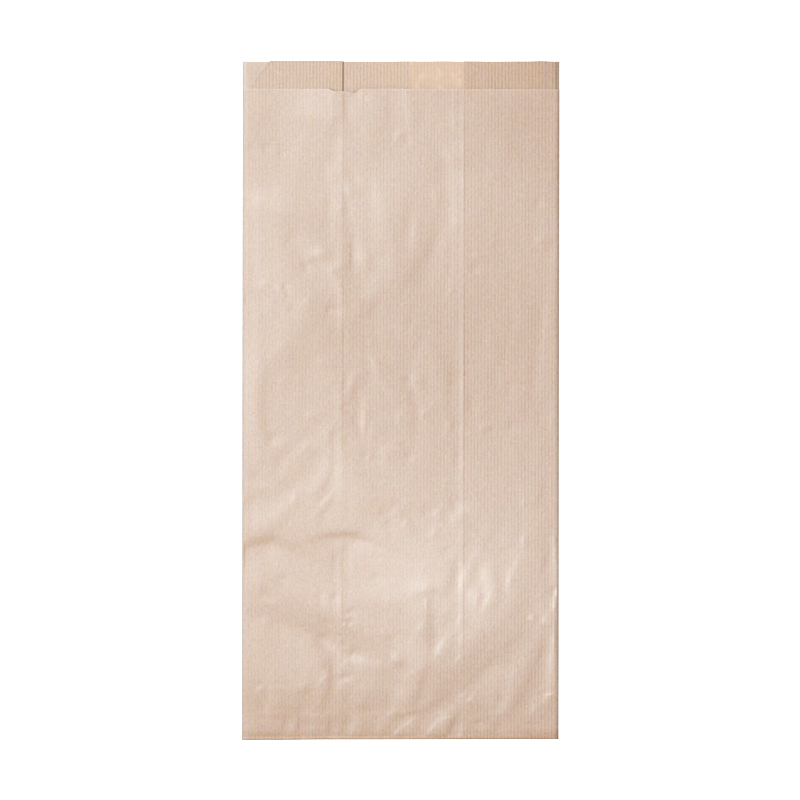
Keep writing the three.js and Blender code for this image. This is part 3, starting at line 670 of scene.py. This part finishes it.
def folded_place(start, fold, end, before, after, sizes, shape):
    """Where the vertices go of paper that runs from x=start to its fold at x=fold, turns over and
    runs back to x=end. before and after are its heights on both sides of the fold."""
    t = sizes.paper / MM
    way = math.copysign(1, fold - start)
    radius = abs(after - before) / 2
    centre = fold - way * (t / 2 + radius)

    def place(column, row):
        part = np.clip(column, 0, 1)
        turned = np.clip(column - 1, 0, 1) * math.pi
        back = np.clip(column - 2, 0, 1)
        x = start + (centre - start) * part
        x = np.where(column > 1, centre + way * radius * np.sin(turned), x)
        x = np.where(column > 2, centre + (end - centre) * back, x)
        z = before + (after - before) * (1 - np.cos(turned)) / 2
        x, y, z = shape(column, x, row, z)
        return x, y, settled(y, z, flap_end(sizes)), x

    return place


def inner_rows(mouth, short, pitch):
    """Rows of a layer inside the bag, which ends short of its head. They lie close to each other where
    the layers are pressed together at the bottom and, by the given pitch, at the mouth."""
    start, pressed, upper = FOOT + INNER_FOOT, FOOT + PRESSED_END, HEAD - mouth
    return lines((start, pressed, 1.0), (pressed, upper, 4.0), (upper, HEAD - short, pitch))


def at_mouth(y, shift, run):
    """The shift in full at the bag's head, fading out below it within run."""
    return shift * smooth((y - HEAD + run) / run)


def waves(x, rows):
    """How far a cut edge strays from its straight line."""
    return sum(height * np.sin(x / length + start) for height, length, start in rows)


def make_back_panels(sizes, looks):
    """The two edges of the paper's back, each with its side fold and the gusset's lower half."""
    inner_left, inner_right = inner_folds(sizes)
    seam_in, seam_out = sizes.seam_inner / MM, sizes.seam_outer / MM
    rows = inner_rows(24, 0.45, 1.0)

    def wavy_top(column, x, y, z):
        return x, y + at_mouth(y, waves(x, BACK_WAVES) - BACK_DROP, BACK_WAVE_RUN), z

    def stepped(column, x, y, z):
        """Lies on the other panel at the seam."""
        lift = LAP * (1 - smooth((x - seam_out - 0.3) / 2.0)) * (column < 1)
        return wavy_top(column, x, y, z + lift)

    left = folded_place(
        inner_left - GUSSET_GAP, -HALF_WIDTH, seam_out, GUSSET_BACK, BACK, sizes, wavy_top
    )
    columns = lines((0, 1, 1 / 24), (1, 2, 1 / 8), (2, 3, 1 / 60))
    paper_sheet("back_panel_left", columns, rows, left, looks, sizes)
    right = folded_place(
        seam_in, HALF_WIDTH, inner_right + GUSSET_GAP, BACK, GUSSET_BACK, sizes, stepped
    )
    columns = lines(
        (0, 0.34, 1 / 60), (0.34, 0.40, 1 / 160), (0.40, 1, 1 / 40), (1, 2, 1 / 8), (2, 3, 1 / 24)
    )
    paper_sheet("back_panel_right", columns, rows, right, looks, sizes)


def make_gussets(sizes, looks):
    """The upper half of each gusset, with its inner fold."""
    inner_left, inner_right = inner_folds(sizes)
    outer = HALF_WIDTH - GUSSET_INSET
    under = GUSSET_BACK - LAP
    rows = inner_rows(30, 0.05, 0.8)

    def cut_corner(column, x, y, z):
        y = y + at_mouth(y, waves(x, LEFT_WAVES) - LEFT_DROP, GUSSET_WAVE_RUN)
        end = np.maximum(-outer, CORNER_CUT[0] + (y - CORNER_CUT[1]) * CORNER_CUT[2])
        x = np.where(x < CUT_HOLD, CUT_HOLD - (CUT_HOLD - x) * (CUT_HOLD - end) / (CUT_HOLD + outer), x)
        return x, y, z + GUSSET_WAVE * np.sin(x / 7.0 + y / 31.0) * (column < 1)

    def raised_edge(column, x, y, z):
        bump = RAISED_HEIGHT * np.exp(-(((x - RAISED_AT) / RAISED_REACH) ** 2) * 2)
        y = y + at_mouth(y, bump - RIGHT_DROP + waves(x, RIGHT_WAVES), GUSSET_WAVE_RUN)
        return x, y, z + GUSSET_WAVE * np.sin(x / 6.0 - y / 37.0) * (column > 2)

    left = folded_place(
        -outer, inner_left, inner_left - GUSSET_RETURN, GUSSET_FRONT, under, sizes, cut_corner
    )
    columns = lines((0, 1, 1 / 44), (1, 2, 1 / 8), (2, 3, 1 / 2))
    paper_sheet("gusset_left", columns, rows, left, looks, sizes)
    right = folded_place(
        inner_right + GUSSET_RETURN, inner_right, outer, under, GUSSET_FRONT, sizes, raised_edge
    )
    columns = lines((0, 1, 1 / 2), (1, 2, 1 / 8), (2, 3, 1 / 44))
    paper_sheet("gusset_right", columns, rows, right, looks, sizes)


# ---- Finishes ----
RIB_SHARPNESS = 1.4
SHEEN_TINT = (0.96, 1.01, 1.03)  # a paler or darker tone of the glaze
GRAIN_TINT = (1.08, 0.94, 0.58)  # brown fibres
PINK_TINT = (0.95, -0.60, 0.55)
GOLD_TINT = (0.60, 0.05, -1.00)
# Straight bands of another tone: the axis across them, from, to, how soft their borders are, how much
# paler or darker they are, and in which tint. Those darker towards the right and at the right side fold
# are painted shade.
Band = namedtuple("Band", "name axis low high soft shade tint")
INSIDE_BANDS = rows_of(
    Band,
    ("right gusset", "X", 29.7, 90, 0.2, -0.055, SHEEN_TINT),
    ("darker towards the right", "X", 54, 200, 20, -0.035, SHEEN_TINT),
    ("bluish stripe", "X", 67.8, 69.8, 0.5, 0.04, (-0.9, -0.45, 0.25)),
    ("brown end", "X", 71.4, 80, 0.4, -0.06, (1.0, 0.42, 0.15)),
    ("dark end", "X", 73.2, 80, 0.25, -0.125, (1.0, 0.60, 0.38)),
    ("shaded cut edge", "Y", 160.1, 170, 0.15, -0.06, (1.0, 0.70, 0.50)),
)
# From, to and softness of single bands, in millimetres.
MOUTH_EDGE_HIGHLIGHT = (146.75, 148, 0.15)  # the front's cut edge is paler: a painted highlight where it faces the lamp
FOOT_SHADE = (-190, -157.5, 3)  # and the paper darker towards the bottom fold: painted shade where it slopes down into it
ABOVE = (0.3, 90, 0.1)  # the heights of the front, whose tones the back's outer face doesn't have
MOUTH_TRIANGLE = (148, 170, 0.2)  # glazed face under the slanting cut, whose ribs are faint
RIGHT_PART = (5, 90, 20)
FOLD_HIGHLIGHT = (-160.5, -159.5, 0.2)  # a painted highlight along the bottom fold, on the left
# Painted shade under the bottom fold, lighter on the left.
UNDER_FOLD_SHADE = (-162.3, -160.7, 0.1)
SIDE_FOLD_SHADE, RIGHT_RIM_DULL_AND_SHADE = (73.75, 90, 0.15), (74.15, 90, 0.15)  # the right side fold has painted shade, dark and brown, and its rim is rougher too
LEFT_RIM_DULL_AND_SHEEN = (-90, -74.2, 0.2)  # and the left one is rougher and painted pale, painted sheen
GUSSET_SHADOW = (-27.7, -27.0, 0.1)  # painted shadow of the left gusset's fold on the back
GLUED = (4.4, 30.0, 0.5)
BLOTS = (0.30, 4.0, 0.25)  # where the glue's noise is high
GUSSET_SHADOW_COLOUR = (0.18, 0.06, 0.02, 1.0)


def math_node(operation, reflected=False):
    """A method of Wire that does one sum."""
    if reflected:
        return lambda self, other: self.math(operation, other, self)
    return lambda self, other: self.math(operation, self, other)


class Wire:
    """A socket that carries a number over the surface; Python's arithmetic adds Math nodes to it."""

    def __init__(self, finish, socket):
        self.finish = finish
        self.socket = socket

    def math(self, operation, *values):
        return self.finish.add("ShaderNodeMath", {"operation": operation}, dict(enumerate(values)))

    def cosine(self):
        return self.math("COSINE", self)

    def exponent(self):
        return self.math("EXPONENT", self)

    __add__ = __radd__ = math_node("ADD")
    __sub__, __rsub__ = math_node("SUBTRACT"), math_node("SUBTRACT", reflected=True)
    __mul__ = __rmul__ = math_node("MULTIPLY")
    __truediv__ = math_node("DIVIDE")
    __pow__ = math_node("POWER")


class Finish:
    """A material, and the ways its nodes are added."""

    def __init__(self, name):
        self.material = bpy.data.materials.new(name)
        self.material.use_nodes = True
        self.tree = self.material.node_tree
        self.tree.nodes.clear()

    def add(self, kind, settings=None, sockets=None, out=0):
        node = self.tree.nodes.new(kind)
        for key, value in (settings or {}).items():
            setattr(node, key, value)
        for key, value in (sockets or {}).items():
            if isinstance(value, Wire):
                self.tree.links.new(value.socket, node.inputs[key])
            else:
                node.inputs[key].default_value = value
        return Wire(self, node.outputs[out]) if node.outputs else None

    def paper_place(self):
        return self.add("ShaderNodeUVMap", {"uv_map": "paper"})

    def object_place(self):
        return self.add("ShaderNodeTexCoord", None, None, out="Object")

    def mix(self, factor, first, second, way="MIX"):
        settings = {"data_type": "RGBA", "blend_type": way, "clamp_factor": True}
        return self.add("ShaderNodeMix", settings, {0: factor, 6: first, 7: second}, out=2)

    def scaled(self, place, across, along):
        """The place in units of across and along, given in millimetres."""
        size = (1 / (across * MM), 1 / (along * MM), 0)
        return self.add("ShaderNodeVectorMath", {"operation": "MULTIPLY"}, {0: place, 1: size})

    def cloud(self, place, across, along, detail=2.0, roughness=0.5, seed=0.0):
        """Soft noise between about -1 and 1, its patches across by along millimetres."""
        sockets = {"Vector": self.scaled(place, across, along), "W": seed, "Scale": 1.0}
        sockets |= {"Detail": detail, "Roughness": roughness}
        found = self.add("ShaderNodeTexNoise", {"noise_dimensions": "4D"}, sockets)
        return (found - 0.5) * 3.0

    def part(self, vector, axis):
        return self.add("ShaderNodeSeparateXYZ", None, {0: vector}, out=axis)

    def spots(self, value, place, ovals):
        """The value with the shade of each oval added, which fades out softly towards its rim."""
        for oval in ovals:
            sockets = {
                "Vector": place,
                "Location": (oval.x * MM, oval.y * MM, 0),
                "Rotation": (0, 0, math.radians(oval.turn)),
                "Scale": (oval.along * MM, oval.across * MM, 1e6),
            }
            seen = self.add("ShaderNodeMapping", {"vector_type": "TEXTURE"}, sockets)
            far = self.add("ShaderNodeVectorMath", {"operation": "LENGTH"}, {0: seen}, out="Value")
            value = value + (far * far * -2.0).exponent() * oval.shade
        return value

    def step(self, value, at, soft):
        """0 below at, 1 above it, with a soft border."""
        sockets = {"Value": value, "From Min": at - soft, "From Max": at + soft}
        return self.add("ShaderNodeMapRange", {"interpolation_type": "SMOOTHSTEP"}, sockets)

    def band(self, value, low, high, soft, unit=MM):
        """1 where the value lies between low and high, with soft borders."""
        rise = self.step(value, low * unit, soft * unit)
        return rise * (1 - self.step(value, high * unit, soft * unit))

    def toned(self, colour, shade, tint):
        """The colour with a shade of the tint added."""
        added = self.add("ShaderNodeCombineXYZ", None, {k: shade * part for k, part in enumerate(tint)})
        return self.mix(1.0, colour, added, "ADD")

    def finish_with(self, colour, roughness, height, **constants):
        """The Principled shader: its colour, roughness and relief in millimetres, and fixed values."""
        bump = self.add("ShaderNodeBump", None, {"Strength": 1.0, "Distance": MM, "Height": height})
        sockets = {"Base Color": colour, "Roughness": roughness, "Normal": bump, **constants}
        shader = self.add("ShaderNodeBsdfPrincipled", None, sockets)
        self.add("ShaderNodeOutputMaterial", None, {"Surface": shader})
        return self.material


def solid_colour(colour):
    return (*colour, 1.0)


def ribbed(finish, paper, looks, wander):
    """The thin ribs that run along the paper: 1 on a rib, 0 between two."""
    stray = finish.cloud(paper, 14, 60, 1.0, seed=3.0) * wander
    phase = (finish.part(paper, "X") / looks.rib_pitch + stray) * (2 * math.pi)
    wave = phase.cosine() * 0.5 + 0.5
    return wave**RIB_SHARPNESS


def lay_bands(finish, colour, place, bands):
    """The colour with each band's tone added."""
    for one in bands:
        seen = finish.band(finish.part(place, one.axis), one.low, one.high, one.soft)
        colour = finish.toned(colour, seen * one.shade, one.tint)
    return colour


def outside_paper(looks):
    """The machine-glazed outer face: brown ribs, fibre clouds, a sheen, and broad tones, which are mostly
    painted sheen and shade, with painted highlights and shade along its edges and folds.
    """
    finish = Finish("kraft_outside")
    paper, place = finish.paper_place(), finish.object_place()
    across, along = finish.part(paper, "X"), finish.part(paper, "Y")
    above = finish.band(finish.part(place, "Z"), *ABOVE)
    mouth = finish.band(along, *MOUTH_TRIANGLE)
    left = 1 - finish.band(across, *RIGHT_PART)
    # The right rim is rougher and darkened as painted shade; the left rim is rougher and painted pale as
    # painted sheen.
    rim = finish.band(across, *RIGHT_RIM_DULL_AND_SHADE)
    dull_with_painted_sheen = finish.band(across, *LEFT_RIM_DULL_AND_SHEEN)
    rib = ribbed(finish, paper, looks, 0.08)
    strength = finish.cloud(paper, 4, 16, 2.0, seed=1.0) * 0.30 + 0.570
    fibres = finish.cloud(paper, 0.7, 2.4, 2.0, 0.6, seed=5.0)
    specks = finish.cloud(paper, 0.85, 0.95, 1.0, seed=12.0)
    crumple = finish.cloud(paper, 1.7, 2.8, 1.0, seed=14.0)
    clouds = finish.cloud(paper, 3.6, 4.6, 2.0, seed=7.0)
    broad = finish.cloud(paper, 22, 34, 2.0, seed=9.0)

    clear = finish.spots(1 + across * RIBS_TO_THE_RIGHT, place, RIB_TONES)
    clear = 1 + (clear * (1 - mouth * 0.65) - 1) * above
    ribs = rib * strength * clear
    # tone: random broad tone, the ribs' offset and the ovals, among them painted sheen and shade, then a
    # painted highlight on the mouth's cut edge, painted shade towards the bottom fold and a painted highlight
    # on its left part.
    tone = broad * 0.004 + (clear - 1) * (1 - mouth) * RIB_SHADE
    tone = finish.spots(tone, place, TONES) + finish.band(along, *MOUTH_EDGE_HIGHLIGHT) * 0.045
    tone = tone - finish.band(along, *FOOT_SHADE) * 0.060 + finish.band(along, *FOLD_HIGHLIGHT) * left * 0.075

    colour = finish.mix(ribs, solid_colour(looks.outside), solid_colour(looks.outside_rib))
    for shade, tint in (
        (fibres * 0.066 + specks * 0.066 + crumple * 0.016, GRAIN_TINT),
        (finish.cloud(paper, 4.0, 7.0, 1.0, seed=15.0) * 0.014, PINK_TINT),
        (finish.cloud(paper, 5.0, 8.0, 1.0, seed=16.0) * 0.016, GOLD_TINT),
        (tone * above, SHEEN_TINT),
        # Painted shade on the right side fold and its rim, painted sheen on the left rim, and painted shade
        # under the bottom fold.
        (finish.band(across, *SIDE_FOLD_SHADE) * -0.10, (1.07, 0.96, 0.90)),
        (rim * -0.10, (1.0, 0.22, -0.15)),
        (dull_with_painted_sheen * 0.10, (0.0, 0.86, 1.37)),
        (finish.band(along, *UNDER_FOLD_SHADE) * (left * 0.04 - 0.12), (1.0, 0.45, 0.15)),
    ):
        colour = finish.toned(colour, shade, tint)
    relief = ribs * -0.0056 + fibres * 0.004 + specks * 0.004 + crumple * 0.005 + clouds * 0.005
    roughness = 0.40 + fibres * 0.03 + (rim + dull_with_painted_sheen) * 0.45
    return finish.finish_with(colour, roughness, relief, **{"Specular IOR Level": 1.0})


def inside_paper(looks):
    """The rough inner face: browner, with stronger ribs and the glue of the back seam, and painted shade and
    shadows beside the left gusset and towards the right fold.
    """
    finish = Finish("kraft_inside")
    paper, place = finish.paper_place(), finish.object_place()
    x = finish.part(place, "X")
    rib = ribbed(finish, paper, looks, 0.06)
    ribs = rib * (finish.cloud(paper, 4, 14, 2.0, seed=2.0) * 0.28 + 0.66)
    fibres = finish.cloud(paper, 0.6, 2.6, 2.0, 0.6, seed=6.0)
    specks = finish.cloud(paper, 0.85, 0.95, 1.0, seed=13.0)
    clouds = finish.cloud(paper, 3.2, 4.0, 2.0, seed=8.0)

    colour = finish.mix(ribs, solid_colour(looks.inside), solid_colour(looks.inside_rib))
    for shade, tint in (
        (fibres * 0.066 + specks * 0.068, GRAIN_TINT),
        (finish.cloud(paper, 5.0, 6.0, 1.0, seed=15.0) * 0.008, PINK_TINT),
        (finish.cloud(paper, 5.0, 6.0, 1.0, seed=16.0) * 0.016, GOLD_TINT),
        (finish.spots(clouds * 0.008, place, INSIDE_TONES), SHEEN_TINT),
        (finish.spots(0, place, INSIDE_STAINS), GOLD_TINT),
    ):
        colour = finish.toned(colour, shade, tint)
    colour = lay_bands(finish, colour, place, INSIDE_BANDS)
    glued = finish.band(x, *GLUED)
    colour = finish.mix(glued * (clouds * 0.35 + 0.42), colour, solid_colour(looks.glue))
    blots = finish.band(finish.cloud(place, 5.0, 6.5, 3.0, seed=21.0), *BLOTS, unit=1.0)
    colour = finish.toned(colour, glued * blots * 0.07, (1.1, 1.0, 0.7))
    # A painted shadow of the left gusset's fold, cast on the back.
    gusset_shadow = finish.band(x, *GUSSET_SHADOW)
    colour = finish.mix(gusset_shadow * 0.52, colour, GUSSET_SHADOW_COLOUR)
    colour = finish.toned(colour, gusset_shadow * -0.028, (0.0, 0.45, 1.0))
    height = ribs * -0.006 + fibres * 0.004 + clouds * 0.004
    roughness = 0.82 + fibres * 0.03
    return finish.finish_with(colour, roughness, height, **{"Specular IOR Level": 0.2})


def cut_edge(looks):
    """The bare fibres where the paper is cut."""
    finish = Finish("kraft_cut_edge")
    fibres = finish.cloud(finish.object_place(), 0.5, 0.5, 2.0, seed=4.0)
    lit = 1 + fibres * 0.05
    shade = finish.add("ShaderNodeCombineXYZ", None, {0: lit, 1: lit, 2: lit})
    colour = finish.mix(1.0, solid_colour(looks.edge), shade, "MULTIPLY")
    return finish.finish_with(colour, 0.9 + fibres * 0.02, fibres * 0.01, **{"Specular IOR Level": 0.1})


def paper_finishes(looks):
    """The three finishes of the paper, made once."""
    makers = {"kraft_outside": outside_paper, "kraft_inside": inside_paper, "kraft_cut_edge": cut_edge}
    return [bpy.data.materials.get(name) or make(looks) for name, make in makers.items()]


# ---- Stage ----
LAMP_DISTANCE = 10.0
LAMP_AZIMUTH, LAMP_ELEVATION = math.radians(147), math.radians(69)
LAMP_AT = LAMP_DISTANCE * Vector((
    math.cos(LAMP_AZIMUTH) * math.cos(LAMP_ELEVATION),
    math.sin(LAMP_AZIMUTH) * math.cos(LAMP_ELEVATION),
    math.sin(LAMP_ELEVATION),
))
LAMP_SIZE = 3.0  # broad, so that shadows are soft
LAMP_COLOUR = (0.78, 1.0, 1.10)  # cooler than the even light
PHOTO_MM = 800 * 150 / 316.9  # width of the picture on the surface: 800 pixels, the bag 316.9 of them
PHOTO_CENTRE = (-0.20 * MM, 0.15 * MM)
PHOTO_TURN = math.radians(0.085)
SENSOR = 36.0
FLOOR_SIZE = 6.0
VIEW_DEPTH = 20.0


def make_stage(scene, looks):
    """The floor, the lamp, the even light and the camera straight above."""
    bpy.ops.object.select_all(action="DESELECT")
    bpy.ops.mesh.primitive_plane_add(size=FLOOR_SIZE, location=(0, 0, 0))
    floor = bpy.context.object
    floor.name = floor.data.name = "floor"
    finish = Finish("floor_plain")
    grain = finish.cloud(finish.object_place(), 6, 6, 2.0)
    floor.data.materials.append(
        finish.finish_with(
            solid_colour(looks.floor), 0.8 + grain * 0.02, grain * 0.002,
            **{"Emission Color": (1, 1, 1, 1), "Emission Strength": looks.floor_glow},
        )
    )

    lamp = bpy.data.lights.new("lamp", "AREA")
    lamp.shape = "DISK"
    lamp.size = LAMP_SIZE
    lamp.energy = looks.lamp
    lamp.color = LAMP_COLOUR
    stand = bpy.data.objects.new("lamp", lamp)
    stand.location = LAMP_AT
    stand.rotation_euler = (-LAMP_AT).to_track_quat("-Z", "Y").to_euler()
    scene.collection.objects.link(stand)

    world = bpy.data.worlds.new("studio")
    world.use_nodes = True
    world.node_tree.nodes["Background"].inputs["Color"].default_value = (1, 1, 1, 1)
    world.node_tree.nodes["Background"].inputs["Strength"].default_value = looks.fill
    scene.world = world

    lens = bpy.data.cameras.new("camera")
    lens.sensor_width = SENSOR
    lens.lens = SENSOR * looks.height / (PHOTO_MM * MM)
    lens.clip_end = VIEW_DEPTH
    camera = bpy.data.objects.new("camera", lens)
    camera.location = (*PHOTO_CENTRE, looks.height)
    camera.rotation_euler = (0, 0, PHOTO_TURN)
    scene.collection.objects.link(camera)
    scene.camera = camera
    scene.view_settings.view_transform = "Standard"
    scene.view_settings.look = "None"


# ---- Operators ----
class BAG_OT_front(bpy.types.Operator):
    """Make the front panel with its side folds and the end turned under"""

    bl_idname = "bag.front"
    bl_label = "Front panel"

    def execute(self, context):
        outside, inside, edge = paper_finishes(context.scene.paper_looks)
        make_front_panel(context.scene.bag_sizes, [outside, inside, edge])
        return {"FINISHED"}


class BAG_OT_back(bpy.types.Operator):
    """Make the two halves of the back, glued along the seam"""

    bl_idname = "bag.back"
    bl_label = "Back panels"

    def execute(self, context):
        outside, inside, edge = paper_finishes(context.scene.paper_looks)
        make_back_panels(context.scene.bag_sizes, [inside, outside, edge])
        return {"FINISHED"}


class BAG_OT_gussets(bpy.types.Operator):
    """Make the upper half of both side gussets"""

    bl_idname = "bag.gussets"
    bl_label = "Gussets"

    def execute(self, context):
        outside, inside, edge = paper_finishes(context.scene.paper_looks)
        make_gussets(context.scene.bag_sizes, [inside, outside, edge])
        return {"FINISHED"}


class BAG_OT_stage(bpy.types.Operator):
    """Make the floor, the light and the camera straight above"""

    bl_idname = "bag.stage"
    bl_label = "Stage"

    def execute(self, context):
        make_stage(context.scene, context.scene.stage_looks)
        return {"FINISHED"}


OPERATORS = [BAG_OT_front, BAG_OT_back, BAG_OT_gussets, BAG_OT_stage]


class BAG_PT_panel(bpy.types.Panel):
    """Settings and steps of the paper bag"""

    bl_idname = "BAG_PT_panel"
    bl_label = "Paper bag"
    bl_space_type = "VIEW_3D"
    bl_region_type = "UI"
    bl_category = "Paper bag"

    def draw(self, context):
        for name, group in SETTINGS.items():
            box = self.layout.box()
            for key in group.__annotations__:
                box.prop(getattr(context.scene, name), key)
        for operator in OPERATORS:
            self.layout.operator(operator.bl_idname)


CLASSES = [*SETTINGS.values(), *OPERATORS, BAG_PT_panel]


def register():
    for one in CLASSES:
        bpy.utils.register_class(one)
    for name, group in SETTINGS.items():
        setattr(bpy.types.Scene, name, PointerProperty(type=group))


def unregister():
    for name in SETTINGS:
        delattr(bpy.types.Scene, name)
    for one in reversed(CLASSES):
        bpy.utils.unregister_class(one)


def main():
    register()
    bpy.ops.bag.front()
    bpy.ops.bag.back()
    bpy.ops.bag.gussets()
    bpy.ops.bag.stage()


if __name__ == "__main__":
    main()
